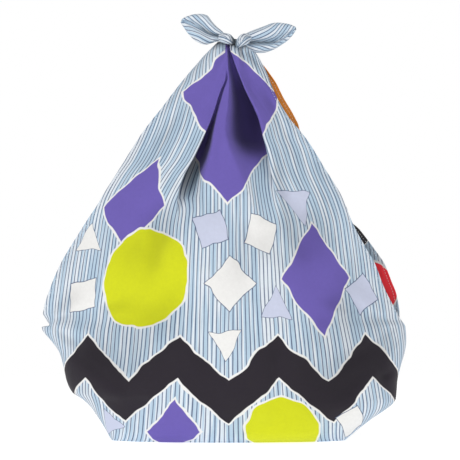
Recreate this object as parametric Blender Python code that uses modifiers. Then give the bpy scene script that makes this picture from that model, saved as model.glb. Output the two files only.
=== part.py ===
"""A furoshiki wrap: one square of cotton tied into a drop-shaped bag that stands on its base.

The cloth is a front and a back panel that run on into each other under the base. They are closed
at the two lower corners, where the cloth is tied and tucked inside, and open between the corners
and the neck, where the two hems leave a mouth on each side. Both panels gather in pleats into a
square knot, and the two free ends of the cloth stand out of it as ears.

Tables and named sizes are in millimetres. +X is to the right of the front, -Y is the front, +Z is
up, and the origin is the middle of the base, on the surface that the wrap stands on.
"""

from collections import namedtuple

import bmesh
import bpy
import numpy as np

MM = 0.001
CLOTH_THICKNESS = 2.0
MERGE_DISTANCE = 0.0001

# The body's outline and depth at each height. left and right are the front panel's two edges,
# front and back the depths at the middle, mouth half the gap between the two hems, and peep how
# far the back hem stands out past the front one on the right. cleft is how far the cloth is drawn
# in where the panels meet below a mouth, by the corner that is tied and tucked inside. round is
# the power that shapes a section's sides: 0.5 is an ellipse and 1 a lens with sharp edges.
Section = namedtuple("Section", "z left right front back mouth peep cleft round")
SECTIONS = (
    Section(0, -143, 143, 60, 58, 0, 0, 0, 0.50),
    Section(5, -147, 150, 71, 69, 0, 0, 0, 0.50),
    Section(14, -153, 163, 80, 77, 0, 0, 0, 0.52),
    Section(46, -175, 202, 92, 88, 0, 0, 4, 0.56),
    Section(85, -202, 210, 98, 94, 0, 0, 9, 0.62),
    Section(112, -210, 215, 99, 95, 0, 0, 11, 0.70),
    Section(138, -228, 217, 98, 94, 0, 0, 12, 0.85),
    Section(158, -227, 206, 96, 92, 8, 2, 9, 0.95),
    Section(187, -217, 192, 92, 87, 15, 9, 0, 1.00),
    Section(215, -205, 178, 87, 82, 20, 12, 0, 1.00),
    Section(259, -178, 154, 76, 71, 24, 9, 0, 1.00),
    Section(292, -156, 135, 67, 62, 25, 7, 0, 1.00),
    Section(331, -133, 110, 57, 52, 23, 7, 0, 1.00),
    Section(365, -112, 91, 49, 45, 19, 7, 0, 1.00),
    Section(410, -79, 66, 38, 35, 13, 6, 0, 0.95),
    Section(445, -52, 47, 29, 27, 7, 5, 0, 0.80),
    Section(464, -36, 40, 25, 24, 0, 0, 0, 0.60),
    Section(476, -22, 33, 18, 17, 0, 0, 0, 0.55),
    Section(484, -8, 24, 11, 11, 0, 0, 0, 0.50),
)
CORNER_HEIGHT = 146
NECK_HEIGHT = 458
ROW_HEIGHTS = (0, 5, 14, 28, 46, 66, 88, 110, 130, CORNER_HEIGHT, 158, 174, 194, 215, 237, 259,
               281, 303, 325, 347, 368, 389, 410, 428, 444, NECK_HEIGHT, 468, 477, 484)
BASE_SHARES = (0, 0.5)

# The deep pleats. x is the crease's place at each height, depth how far the trough beside it goes
# in, and width how far the trough reaches from the crease before it has risen again.
Fold = namedtuple("Fold", "z x depth width")
FRONT_LEFT_FOLD = (
    Fold(0, -48, 0, 40), Fold(150, -62, 0, 40), Fold(250, -66, 1, 38), Fold(290, -62, 8, 34),
    Fold(318, -55, 16, 27), Fold(340, -46, 22, 21), Fold(362, -37, 24, 16), Fold(394, -24, 18, 9),
    Fold(411, -16, 13, 7), Fold(443, -3, 6, 5), Fold(466, -2, 3, 4), Fold(484, -2, 0, 4),
)
FRONT_RIGHT_FOLD = (
    Fold(0, 50, 0, 50), Fold(150, 60, 0, 50), Fold(262, 54, 1, 51), Fold(300, 50, 7, 51),
    Fold(333, 46, 16, 49), Fold(369, 42, 24, 45), Fold(390, 37, 25, 40), Fold(405, 32, 23, 33),
    Fold(428, 21, 16, 20), Fold(443, 15, 11, 12), Fold(455, 11, 7, 8), Fold(468, 9, 4, 5),
    Fold(484, 9, 0, 4),
)
BACK_LEFT_FOLD = (
    Fold(0, -48, 0, 40), Fold(190, -60, 0, 40), Fold(270, -52, 3, 38), Fold(330, -38, 10, 32),
    Fold(380, -22, 13, 24), Fold(430, -4, 8, 12), Fold(466, 0, 3, 6), Fold(484, -1, 0, 5),
)
BACK_RIGHT_FOLD = (
    Fold(0, 50, 0, 44), Fold(220, 66, 0, 44), Fold(300, 60, 6, 40), Fold(350, 48, 12, 32),
    Fold(400, 32, 12, 22), Fold(440, 22, 7, 12), Fold(466, 15, 3, 7), Fold(484, 13, 0, 5),
)
CREASE_WIDTH = 3.5
CREASE_LIP = 0.16

# Columns of each panel: how many lie between the left edge and the left crease, across that
# crease, across the middle, across the right crease, and from there to the right edge. Both
# panels' creases start at the same places at the base, so their columns meet under the base.
COLUMNS = (10, 2, 8, 2, 10)

# Small pleats where the neck is drawn into the knot, and tucks that fan out of the two corners.
NECK_PLEATS = 5
NECK_PLEAT_DEPTH = 1.2
NECK_PLEAT_FADE = 32
TUCK_COUNT = 9
TUCK_DEPTH = 5.0
TUCK_REACH = 55

# The hems' slack: how far they wave in and out along a mouth, and how long one wave is.
HEM_WAVE = 3.5
HEM_WAVE_LENGTH = 120
HEM_PHASES = {(-1, "left"): 0.4, (-1, "right"): 2.3, (1, "left"): 3.6, (1, "right"): 5.2}

# Soft dents of the slack cloth: where they are, how far they reach and how deep they go.
Dent = namedtuple("Dent", "x z reach depth")
FRONT_DENTS = (Dent(-120, 120, 60, 5), Dent(128, 96, 55, 6), Dent(8, 60, 80, -3), Dent(96, 250, 48, 4),
               Dent(-84, 262, 42, 3))
BACK_DENTS = (Dent(-110, 90, 60, 5), Dent(120, 140, 60, 5), Dent(-30, 230, 60, 4))


def smooth_column(table, name):
    """A column of a table as a smooth function of height, with no overshoot between its rows."""
    height = np.array([row.z for row in table], float)
    value = np.array([getattr(row, name) for row in table], float)
    secant = np.diff(value) / np.diff(height)
    slope = np.empty_like(value)
    slope[0], slope[-1] = secant[0], secant[-1]
    same_way = secant[:-1] * secant[1:] > 0
    total = np.where(same_way, secant[:-1] + secant[1:], 1.0)
    slope[1:-1] = np.where(same_way, 2 * secant[:-1] * secant[1:] / total, 0.0)

    def at(z):
        k = np.clip(np.searchsorted(height, z) - 1, 0, len(height) - 2)
        step = height[k + 1] - height[k]
        t = (z - height[k]) / step
        rise = value[k + 1] - value[k]
        return (value[k] + rise * t * t * (3 - 2 * t)
                + step * t * (1 - t) * (slope[k] * (1 - t) - slope[k + 1] * t))

    return at


def smooth_step(t):
    """0 below 0, 1 above 1, and a smooth rise between."""
    t = np.clip(t, 0, 1)
    return t * t * (3 - 2 * t)


def trough(x, z, fold, side):
    """How far a pleat draws the cloth in. side is +1 where the trough is right of the crease."""
    crease = smooth_column(fold, "x")(z)
    depth = smooth_column(fold, "depth")(z)
    width = smooth_column(fold, "width")(z)
    beside = side * (x - crease)
    wall = smooth_step((beside + CREASE_WIDTH) / (2 * CREASE_WIDTH))
    rise = 1 - smooth_step((beside - CREASE_WIDTH) / width)
    lip = np.exp(-((beside + 2.5 * CREASE_WIDTH) / (2.5 * CREASE_WIDTH)) ** 2)
    return depth * (wall * rise - CREASE_LIP * lip)


def column_places(z, left, right, folds):
    """The x of every column in one row: bunched at the creases and towards both edges."""
    creases = [smooth_column(fold, "x")(z) for fold in folds]
    half = CREASE_WIDTH
    marks = (left, creases[0] - half, creases[0] + half, creases[1] - half, creases[1] + half, right)
    places = []
    for k, count in enumerate(COLUMNS):
        t = np.arange(count) / count
        if k == 0:
            t = 1 - np.cos(t * np.pi / 2)
        if k == len(COLUMNS) - 1:
            t = np.sin(t * np.pi / 2)
        places.append(marks[k] + (marks[k + 1] - marks[k]) * t)
    return np.append(np.concatenate(places), right)


def corner_tucks(x, z):
    """Shallow tucks that fan out of the two lower corners and die away."""
    drawn = 0.0
    for corner_x in (-227, 216):
        away_x, away_z = x - corner_x, z - CORNER_HEIGHT
        distance = np.hypot(away_x, away_z)
        angle = np.arctan2(away_z, np.abs(away_x))
        fade = smooth_step(distance / 12) * np.exp(-distance / TUCK_REACH)
        drawn = drawn + TUCK_DEPTH * fade * (0.5 + 0.5 * np.cos(TUCK_COUNT * angle))
    return drawn


def soft_dents(x, z, dents):
    """The slack of the cloth, as shallow round hollows."""
    return sum(d.depth * np.exp(-((x - d.x) ** 2 + (z - d.z) ** 2) / d.reach ** 2) for d in dents)


def hem_wave(z, facing, across):
    """How far the slack pushes a panel out near its two hems."""
    turns = 2 * np.pi * (z - CORNER_HEIGHT) / HEM_WAVE_LENGTH
    open_part = smooth_step((z - CORNER_HEIGHT) / 60) * smooth_step((NECK_HEIGHT - z) / 60)
    phase = np.where(across < 0, HEM_PHASES[facing, "left"], HEM_PHASES[facing, "right"])
    return HEM_WAVE * open_part * np.sin(turns + phase) * np.abs(across) ** 6


def panel_row(z, facing):
    """One row of a panel as points across it, left to right. facing is -1 for the front."""
    row = {name: smooth_column(SECTIONS, name)(z) for name in Section._fields[1:]}
    if z <= CORNER_HEIGHT or z >= NECK_HEIGHT:
        row["mouth"] = row["peep"] = 0.0
    if facing < 0:
        left, right, reach = row["left"], row["right"], row["front"]
        folds, dents = (FRONT_LEFT_FOLD, FRONT_RIGHT_FOLD), FRONT_DENTS
    else:
        left, right, reach = row["left"] + 0.5 * row["peep"], row["right"] + row["peep"], row["back"]
        folds, dents = (BACK_LEFT_FOLD, BACK_RIGHT_FOLD), BACK_DENTS
    x = column_places(z, left, right, folds)
    across = np.clip(2 * (x - left) / (right - left) - 1, -1, 1)
    bulge = 1 - across ** 2
    inner = smooth_step(bulge / 0.25)
    pleats = NECK_PLEAT_DEPTH * np.exp(-(NECK_HEIGHT + 26 - z) / NECK_PLEAT_FADE)
    drawn_in = trough(x, z, folds[0], 1) + trough(x, z, folds[1], -1)
    drawn_in += pleats * np.cos(NECK_PLEATS * np.pi * across)
    drawn_in += (corner_tucks(x, z) + soft_dents(x, z, dents)) * smooth_step((z - 14) / 40)
    y = row["mouth"] + (reach - row["mouth"]) * bulge ** row["round"] - drawn_in * inner
    y += hem_wave(z, facing, across)
    x[0] += row["cleft"]
    x[-1] -= row["cleft"]
    return np.column_stack([x, facing * y, np.full_like(x, z)])


def panel_grid(facing):
    """All rows of one panel, from the middle of the base, out to its edge and up to the neck."""
    edge = panel_row(0, facing)
    base = [edge * (1, share, 1) for share in BASE_SHARES]
    return np.array(base + [panel_row(z, facing) for z in ROW_HEIGHTS])


def cloth_surface():
    """Both panels as one open surface, joined under the base, down the sides and at the neck."""
    # A grid's faces point out when its rows climb and its columns run left to right from outside.
    front = panel_grid(-1)
    back = panel_grid(1)
    mesh = bmesh.new()
    for grid, turned in ((front, False), (back, True)):
        points = [[mesh.verts.new(point * MM) for point in row] for row in grid]
        for lower, upper in zip(points, points[1:]):
            for k in range(len(lower) - 1):
                corners = [lower[k], lower[k + 1], upper[k + 1], upper[k]]
                mesh.faces.new(corners[::-1] if turned else corners)
    bmesh.ops.remove_doubles(mesh, verts=mesh.verts, dist=MERGE_DISTANCE)
    bmesh.ops.dissolve_degenerate(mesh, edges=mesh.edges, dist=MERGE_DISTANCE / 2)
    data = bpy.data.meshes.new("cloth_surface")
    mesh.to_mesh(data)
    mesh.free()
    return data


def linked(name, data, collection):
    """A new object in its collection."""
    piece = bpy.data.objects.new(name, data)
    collection.objects.link(piece)
    return piece


def as_helper(piece):
    """Marks a shape that only takes part in a union."""
    piece.hide_render = True
    piece.display_type = "WIRE"
    return piece


def add_thickness(piece, thickness, offset):
    """Gives an open surface the cloth's thickness, inwards at offset -1 and both ways at 0."""
    solidify = piece.modifiers.new("thickness", "SOLIDIFY")
    solidify.thickness = thickness * MM
    solidify.offset = offset
    solidify.use_even_offset = True
    solidify.use_quality_normals = True


def knot_core(helpers):
    """The hidden middle of the knot, where both panels' gathers are held."""
    centre = (9, 0, 484.5)
    half_sizes = (22, 17, 10.5)
    bpy.ops.mesh.primitive_uv_sphere_add(segments=20, ring_count=12, radius=1)
    core = bpy.context.object
    core.name = "knot_core"
    core.scale = [size * MM for size in half_sizes]
    core.location = [place * MM for place in centre]
    bpy.ops.object.transform_apply(location=True, scale=True)
    for owner in core.users_collection:
        owner.objects.unlink(core)
    helpers.objects.link(core)
    return as_helper(core)


# The knot's turns: the points that each follows, with the half thickness of the cloth there.
Turn = namedtuple("Turn", "x y z radius")
KNOT_TURNS = {
    "front_left_turn": (Turn(-9, 4, 494, 4.5), Turn(-5, -8, 494, 6.5), Turn(2, -15, 489, 7.2),
                        Turn(8, -14, 483, 6.0), Turn(11, -6, 479, 4.0)),
    "front_right_turn": (Turn(7, -5, 478, 4.0), Turn(12, -14, 482, 6.2), Turn(19, -14, 490, 7.4),
                         Turn(25, -6, 496, 6.0), Turn(26, 4, 497, 4.0)),
    "back_left_turn": (Turn(-8, -3, 486, 4.0), Turn(-4, 9, 486, 6.2), Turn(5, 15, 490, 7.0),
                       Turn(12, 10, 495, 5.5), Turn(14, 2, 497, 4.0)),
    "back_right_turn": (Turn(5, 4, 495, 4.0), Turn(10, 12, 491, 6.2), Turn(18, 15, 485, 7.0),
                        Turn(25, 8, 482, 5.5), Turn(27, 0, 483, 4.0)),
}
TURN_SIDES = 2
TURN_STEPS = 3


def knot_turn(name, turns, helpers):
    """One turn of the knot: a fat tube along its points, made a mesh so that it can be joined."""
    curve = bpy.data.curves.new(name, "CURVE")
    curve.dimensions = "3D"
    curve.bevel_depth = MM
    curve.bevel_resolution = TURN_SIDES
    curve.use_fill_caps = True
    spline = curve.splines.new("BEZIER")
    spline.bezier_points.add(len(turns) - 1)
    spline.resolution_u = TURN_STEPS
    for point, turn in zip(spline.bezier_points, turns):
        point.co = (turn.x * MM, turn.y * MM, turn.z * MM)
        point.radius = turn.radius
        point.handle_left_type = point.handle_right_type = "AUTO"
    tube = linked(name + "_path", curve, helpers)
    bpy.context.view_layer.update()
    evaluated = tube.evaluated_get(bpy.context.evaluated_depsgraph_get())
    data = bpy.data.meshes.new_from_object(evaluated)
    bpy.data.objects.remove(tube)
    mesh = bmesh.new()
    mesh.from_mesh(data)
    bmesh.ops.remove_doubles(mesh, verts=mesh.verts, dist=MERGE_DISTANCE)
    bmesh.ops.recalc_face_normals(mesh, faces=mesh.faces)
    mesh.to_mesh(data)
    mesh.free()
    return as_helper(linked(name, data, helpers))


# The two ears, from the knot to the tip: the middle line, the half widths above and below it, and
# how deep the ear is folded along that line.
Rib = namedtuple("Rib", "x z above below fold lean")
LEFT_EAR = (Rib(-3, 491, 5, 5, 2, 0), Rib(-9, 495, 8, 8, 4, -1), Rib(-19, 499, 15, 13, 7, -3),
            Rib(-29, 503, 19, 16, 8, -5), Rib(-40, 506, 16, 16, 7, -6), Rib(-50, 508, 11, 13, 5, -6),
            Rib(-57, 510, 4, 7, 2, -5))
RIGHT_EAR = (Rib(16, 487, 5, 5, 2, 0), Rib(24, 489, 9, 10, 4, -2), Rib(36, 490, 14, 15, 7, -5),
             Rib(48, 491, 18, 13, 8, -7), Rib(60, 494, 18, 11, 7, -8), Rib(72, 498, 12, 10, 5, -8),
             Rib(82, 504, 2, 4, 1, -6))
EAR_ACROSS = 8
EAR_ALONG = 12
EAR_THICKNESS = 2.6


def ear_surface(ribs):
    """A leaf of cloth folded along its middle line: each rib is a shallow V that opens forwards."""
    place = np.linspace(0, len(ribs) - 1, EAR_ALONG + 1)
    column = {name: np.interp(place, np.arange(len(ribs)), [getattr(rib, name) for rib in ribs])
              for name in Rib._fields}
    along = np.column_stack([np.gradient(column["x"]), np.gradient(column["z"])])
    along /= np.linalg.norm(along, axis=1, keepdims=True)
    up = np.column_stack([-along[:, 1], along[:, 0]]) * np.sign(along[:, :1])
    share = np.linspace(-1, 1, EAR_ACROSS + 1)
    reach = np.where(share > 0, column["above"][:, None], column["below"][:, None]) * share
    x = column["x"][:, None] + up[:, :1] * reach
    z = column["z"][:, None] + up[:, 1:] * reach
    y = column["lean"][:, None] + column["fold"][:, None] * (1 - 1.6 * np.abs(share) ** 1.3)
    return np.stack([x, y, z], axis=-1)


def ear(name, ribs, helpers):
    """One free end of the cloth, as a folded leaf with the cloth's thickness."""
    grid = ear_surface(ribs)
    mesh = bmesh.new()
    points = [[mesh.verts.new(point * MM) for point in row] for row in grid]
    for lower, upper in zip(points, points[1:]):
        for k in range(len(lower) - 1):
            mesh.faces.new([lower[k], lower[k + 1], upper[k + 1], upper[k]])
    data = bpy.data.meshes.new(name)
    mesh.to_mesh(data)
    mesh.free()
    piece = linked(name, data, helpers)
    add_thickness(piece, EAR_THICKNESS, 0)
    return as_helper(piece)


def cotton():
    """The printed cotton's mean colour: a pale blue ground with a matt surface."""
    material = bpy.data.materials.new("printed_cotton")
    material.use_nodes = True
    shader = material.node_tree.nodes["Principled BSDF"]
    shader.inputs["Base Color"].default_value = (0.52, 0.62, 0.74, 1)
    shader.inputs["Roughness"].default_value = 0.9
    shader.inputs["Metallic"].default_value = 0
    return material


def clear_scene():
    for piece in list(bpy.data.objects):
        bpy.data.objects.remove(piece)


def new_collection(name):
    collection = bpy.data.collections.new(name)
    bpy.context.scene.collection.children.link(collection)
    return collection


def main():
    clear_scene()
    collection = new_collection("furoshiki_wrap")
    helpers = new_collection("wrap_joined_shapes")
    cloth = linked("wrap_cloth", cloth_surface(), collection)
    cloth.data.materials.append(cotton())
    add_thickness(cloth, CLOTH_THICKNESS, -1)
    joined = [knot_core(helpers)]
    joined += [knot_turn(name, turns, helpers) for name, turns in KNOT_TURNS.items()]
    joined += [ear("left_ear", LEFT_EAR, helpers), ear("right_ear", RIGHT_EAR, helpers)]
    for shape in joined:
        union = cloth.modifiers.new("join_" + shape.name, "BOOLEAN")
        union.operation = "UNION"
        union.solver = "MANIFOLD"
        union.object = shape


main()
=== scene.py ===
"""Looks of a tied furoshiki wrap: one square of printed cotton on a white studio floor.

Every place and size is in millimetres in the tables below and becomes metres with MM. +X is right
of the front panel, -Y is its front, +Z is up, and the wrap stands on z = 0.
"""

from collections import namedtuple

import bmesh
import bpy
import numpy as np
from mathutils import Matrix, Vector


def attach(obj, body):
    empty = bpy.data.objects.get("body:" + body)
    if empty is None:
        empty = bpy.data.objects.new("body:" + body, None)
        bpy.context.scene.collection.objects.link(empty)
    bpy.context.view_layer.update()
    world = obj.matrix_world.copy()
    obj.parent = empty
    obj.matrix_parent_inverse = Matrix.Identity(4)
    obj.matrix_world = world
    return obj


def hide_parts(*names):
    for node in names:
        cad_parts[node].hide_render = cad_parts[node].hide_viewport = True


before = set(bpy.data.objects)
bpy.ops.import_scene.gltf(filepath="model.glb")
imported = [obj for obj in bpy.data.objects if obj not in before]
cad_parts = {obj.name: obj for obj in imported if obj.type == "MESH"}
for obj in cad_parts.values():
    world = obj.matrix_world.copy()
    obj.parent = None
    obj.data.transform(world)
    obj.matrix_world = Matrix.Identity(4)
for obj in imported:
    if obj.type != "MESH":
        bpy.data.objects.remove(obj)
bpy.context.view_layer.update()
MM = 0.001


# The camera stands straight in front of the wrap, at the height of its middle, with a long lens,
# as for a shop picture.
CAMERA_AWAY = 3500
CAMERA_RISE_DEG = -1.0
CAMERA_AIM = (2, 0, 257)
PICTURE_WIDTH = 564
SENSOR_WIDTH = 36
VIEW_END = 50000


def placed(name, data):
    """An object of some data, in the scene."""
    thing = bpy.data.objects.new(name, data)
    bpy.context.scene.collection.objects.link(thing)
    return thing


rise = np.radians(CAMERA_RISE_DEG)
lens = bpy.data.cameras.new("front_camera")
lens.sensor_width = SENSOR_WIDTH
lens.lens = SENSOR_WIDTH * CAMERA_AWAY / PICTURE_WIDTH
lens.clip_end = VIEW_END * MM
camera = placed("front_camera", lens)
camera.location = (CAMERA_AIM[0] * MM, -CAMERA_AWAY * np.cos(rise) * MM,
                   (CAMERA_AIM[2] + CAMERA_AWAY * np.sin(rise)) * MM)
camera.rotation_euler = (np.pi / 2 - rise, 0, 0)
bpy.context.scene.camera = camera


# The studio: a round white floor that melts into the white room, a big soft light in front, one
# up at the left for a little shape, a weak one at the right and one high up behind.
FLOOR_RINGS = (1, 200, 500, 900, 1500, 2600)
FLOOR_SOLID_RADIUS = 700
FLOOR_SIDES = 64
FLOOR_DROP = 0.2
FLOOR_PAINT = (0.90, 0.90, 0.90, 1)
FLOOR_GLOW = 0.52
ROOM_WHITE = (1.0, 1.0, 1.0, 1)
ROOM_LIGHT = 0.38
Light = namedtuple("Light", "name x y z size watts")
LIGHTS = (
    Light("softbox_front", 200, -2700, 900, 1500, 17),
    Light("window_left", -1750, -1550, 1500, 1000, 25),
    Light("fill_right", 1900, -1300, 900, 1400, 10),
    Light("softbox_back", 500, 2600, 1500, 1200, 16),
)
LIGHT_AIM = (0, 0, 230)


def fill(tree, socket, value):
    """Gives an input socket a value: a link when the value is a socket, else a number."""
    if isinstance(value, bpy.types.NodeSocket):
        tree.links.new(value, socket)
    else:
        socket.default_value = value


def vectors(tree, operation, *values):
    """A Vector Math node on places, as the socket of its result."""
    node = tree.nodes.new("ShaderNodeVectorMath")
    node.operation = operation
    for socket, value in zip(node.inputs, values):
        fill(tree, socket, value)
    return node.outputs["Value" if operation == "LENGTH" else "Vector"]


def new_material(name):
    """A material, with its node tree and its shader."""
    material = bpy.data.materials.new(name)
    material.use_nodes = True
    return material, material.node_tree, material.node_tree.nodes["Principled BSDF"]


def ramp(tree, value, low, high, to_low=0.0, to_high=1.0):
    """A smooth ramp of a socket from to_low at low to to_high at high."""
    node = tree.nodes.new("ShaderNodeMapRange")
    node.interpolation_type = "SMOOTHSTEP"
    fill(tree, node.inputs["Value"], value)
    node.inputs["From Min"].default_value = low
    node.inputs["From Max"].default_value = high
    node.inputs["To Min"].default_value = to_low
    node.inputs["To Max"].default_value = to_high
    return node.outputs["Result"]


def ring_quads(index):
    """Quads between neighbouring rings of point numbers, with the points round a ring last."""
    beside = np.roll(index, -1, axis=-1)
    corners = [index[..., :-1, :], index[..., 1:, :], beside[..., 1:, :], beside[..., :-1, :]]
    return np.stack(corners, axis=-1).reshape(-1, 4)


def studio_floor():
    """A disc of quads round the middle, in rings that widen outwards."""
    turns = np.linspace(0, 2 * np.pi, FLOOR_SIDES, endpoint=False)
    radii = np.array(FLOOR_RINGS) * MM
    points = np.stack([radii[:, None] * np.cos(turns), radii[:, None] * np.sin(turns),
                       np.full((len(radii), len(turns)), -FLOOR_DROP * MM)], axis=-1)
    index = np.arange(points[..., 0].size).reshape(points.shape[:2])
    mesh = bpy.data.meshes.new("studio_floor")
    mesh.from_pydata(points.reshape(-1, 3).tolist(), [], ring_quads(index).tolist() + [index[0].tolist()])
    floor = placed("studio_floor", mesh)
    paint, tree, shader = new_material("floor_paint")
    shader.inputs["Base Color"].default_value = FLOOR_PAINT
    shader.inputs["Roughness"].default_value = 0.9
    shader.inputs["Specular IOR Level"].default_value = 0.1
    shader.inputs["Emission Color"].default_value = ROOM_WHITE
    shader.inputs["Emission Strength"].default_value = FLOOR_GLOW
    from_middle = vectors(tree, "LENGTH", tree.nodes.new("ShaderNodeTexCoord").outputs["Object"])
    edge = ramp(tree, from_middle, FLOOR_SOLID_RADIUS * MM, FLOOR_RINGS[-1] * MM, 1, 0)
    fill(tree, shader.inputs["Alpha"], edge)
    mesh.materials.append(paint)


def soft_light(lamp):
    """A square area light at its place, that points at the middle of the wrap."""
    light = bpy.data.lights.new(lamp.name, "AREA")
    light.shape = "SQUARE"
    light.size = lamp.size * MM
    light.energy = lamp.watts
    holder = placed(lamp.name, light)
    holder.location = (lamp.x * MM, lamp.y * MM, lamp.z * MM)
    towards = Vector([a - p for a, p in zip(LIGHT_AIM, (lamp.x, lamp.y, lamp.z))])
    holder.rotation_euler = towards.to_track_quat("-Z", "Y").to_euler()


def white_room():
    """An even white room: full white behind the wrap, and a softer white as its light."""
    world = bpy.data.worlds.new("white_room")
    world.use_nodes = True
    tree = world.node_tree
    tree.nodes.clear()
    seen = tree.nodes.new("ShaderNodeBackground")
    seen.inputs["Color"].default_value = ROOM_WHITE
    glow = tree.nodes.new("ShaderNodeBackground")
    glow.inputs["Color"].default_value = ROOM_WHITE
    glow.inputs["Strength"].default_value = ROOM_LIGHT
    either = tree.nodes.new("ShaderNodeMixShader")
    fill(tree, either.inputs[0], tree.nodes.new("ShaderNodeLightPath").outputs["Is Camera Ray"])
    fill(tree, either.inputs[1], glow.outputs[0])
    fill(tree, either.inputs[2], seen.outputs[0])
    fill(tree, tree.nodes.new("ShaderNodeOutputWorld").inputs["Surface"], either.outputs[0])
    bpy.context.scene.world = world


studio_floor()
white_room()
for lamp in LIGHTS:
    soft_light(lamp)
bpy.context.scene.view_settings.view_transform = "Standard"


# The printed cotton: a plain weave with a pale striped ground and bold flat shapes, each with a
# thin white edge. The inside of the cloth shows the same print a little paler.
STRIPE_PITCH = 5.3
STRIPE_LEAST_HALF = 0.205
STRIPE_UNEVEN = 0.9
STRIPE_EDGE = 0.32
STRIPE_INK = 0.92
STRIPE_WAVER = 4.0
WAVER_SCALE = (0.03, 0.009, 1)
UNEVEN_SCALE = (0.30, 0.020, 1)
STREAK_SCALE = (0.19, 0.006, 1)
STREAK_FROM = 0.46
STREAK_TO = 0.58
TRIANGLE_FULL = 1.6
ZIGZAG_SWING = 2.2
ZIGZAG_BAND = 0.75
WHITE_EDGE = 2.4
PRINT_EDGE = 0.35
THREAD_PITCH = 0.5
THREAD_SHADE = 0.06
THREAD_BUMP = 0.35
THREAD_RELIEF = 0.12
MOTTLE_SCALE = 260
MOTTLE_SHADE = 0.12
MOTTLE_ROUGH = 0.16
LEAST_ROUGH = 0.78
CRUMPLE_SCALE = 46
CRUMPLE_BUMP = 0.55
CRUMPLE_RELIEF = 1.3
HEM_WIDTH = 5.0
SEAM_REACH = 1.0
SEAM_SHADE = 0.84
# How far the painted shade of the fold value darkens the cloth at its full.
FOLD_SHADE = 0.69
INSIDE_FADE = 0.04


def printed(red, green, blue):
    """A colour given as 0 to 255 screen values, in the shader's linear values."""
    screen = np.array([red, green, blue]) / 255
    linear = np.where(screen <= 0.04045, screen / 12.92, ((screen + 0.055) / 1.055) ** 2.4)
    return (*linear.tolist(), 1)


GROUND_BLUE = printed(175, 196, 213)
GROUND_WHITE = printed(213, 220, 227)
STRIPE_SLATE = printed(72, 86, 116)
INKS = {
    "purple": printed(104, 90, 168), "charcoal": printed(38, 33, 41), "lime": printed(200, 205, 24),
    "lilac": printed(192, 197, 217), "white": printed(225, 224, 222), "orange": printed(242, 146, 42),
    "red": printed(246, 28, 48),
}
PALE_INKS = ("white", "lilac")
PALE_EDGE = 0.9
DRAWN_WAVE = 34
DRAWN_SHIFT = 15


def rows_of(kind, *rows):
    """A table: rows of numbers as named tuples of one kind."""
    return tuple(kind(*row) for row in rows)


# Every printed shape: where its middle is on the flat cloth (u across, v up the front and, below
# zero, up the back), its half sizes, how far it is turned, and its ink.
Shape = namedtuple("Shape", "kind u v half_u half_v turn ink")
SHAPES = rows_of(
    Shape,
    ("zigzag", 0, 150, 62, 25, 0, "charcoal"),
    ("zigzag", 0, -150, 62, 25, 0, "charcoal"),
    ("diamond", 0, 506, 150, 140, 0, "purple"),
    ("diamond", 124, 272, 50, 70, 0, "purple"),
    ("diamond", -146, 362, 46, 60, 0, "purple"),
    ("diamond", -62, 86, 32, 42, 0, "purple"),
    ("disc", -114, 272, 60, 60, 0, "lime"),
    ("disc", 62, 86, 43, 43, 0, "lime"),
    ("square", 2, 266, 24, 24, 45, "white"),
    ("square", -24, 334, 20, 20, 20, "lilac"),
    ("square", 46, 326, 19, 19, -18, "white"),
    ("triangle", 62, 238, 20, 20, 0, "lilac"),
    ("triangle", 112, 366, 22, 22, 180, "lilac"),
    ("triangle", -4, 196, 19, 19, 180, "white"),
    ("triangle", -206, 318, 19, 19, 0, "white"),
    ("square", 192, 252, 18, 18, 30, "lilac"),
    ("square", -204, 250, 18, 18, 10, "white"),
    ("square", 150, 96, 16, 16, 28, "white"),
    ("triangle", -148, 94, 18, 18, 20, "lilac"),
    ("disc", 70, -262, 52, 52, 0, "lime"),
    ("diamond", -86, -290, 52, 74, 0, "purple"),
    ("diamond", 104, -486, 80, 96, 0, "orange"),
    ("disc", 214, -256, 32, 32, 0, "red"),
    ("triangle", 184, -320, 30, 30, 20, "charcoal"),
    ("diamond", -10, -430, 52, 66, 0, "purple"),
    ("square", 4, -330, 22, 22, 30, "white"),
    ("square", 128, -350, 20, 20, 12, "lilac"),
    ("square", -164, -250, 20, 20, -14, "lilac"),
    ("triangle", 0, -214, 20, 20, 0, "white"),
)


def maths(tree, operation, *values):
    """A Math node on numbers or sockets, as the socket of its result."""
    node = tree.nodes.new("ShaderNodeMath")
    node.operation = operation
    for socket, value in zip(node.inputs, values):
        fill(tree, socket, value)
    return node.outputs[0]


def over(tree, mask, below, above):
    """The colour below, with the colour above laid on it where the mask is 1."""
    mix = tree.nodes.new("ShaderNodeMix")
    mix.data_type = "RGBA"
    fill(tree, mix.inputs["Factor"], mask)
    fill(tree, mix.inputs[6], below)
    fill(tree, mix.inputs[7], above)
    return mix.outputs[2]


def noise(tree, place, scale, detail=2.0, roughness=0.5):
    """A noise texture's value on some places."""
    node = tree.nodes.new("ShaderNodeTexNoise")
    fill(tree, node.inputs["Vector"], place)
    node.inputs["Scale"].default_value = scale
    node.inputs["Detail"].default_value = detail
    node.inputs["Roughness"].default_value = roughness
    return node.outputs["Fac"]


def split(tree, place):
    """The x and y of some places."""
    node = tree.nodes.new("ShaderNodeSeparateXYZ")
    fill(tree, node.inputs[0], place)
    return node.outputs["X"], node.outputs["Y"]


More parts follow.
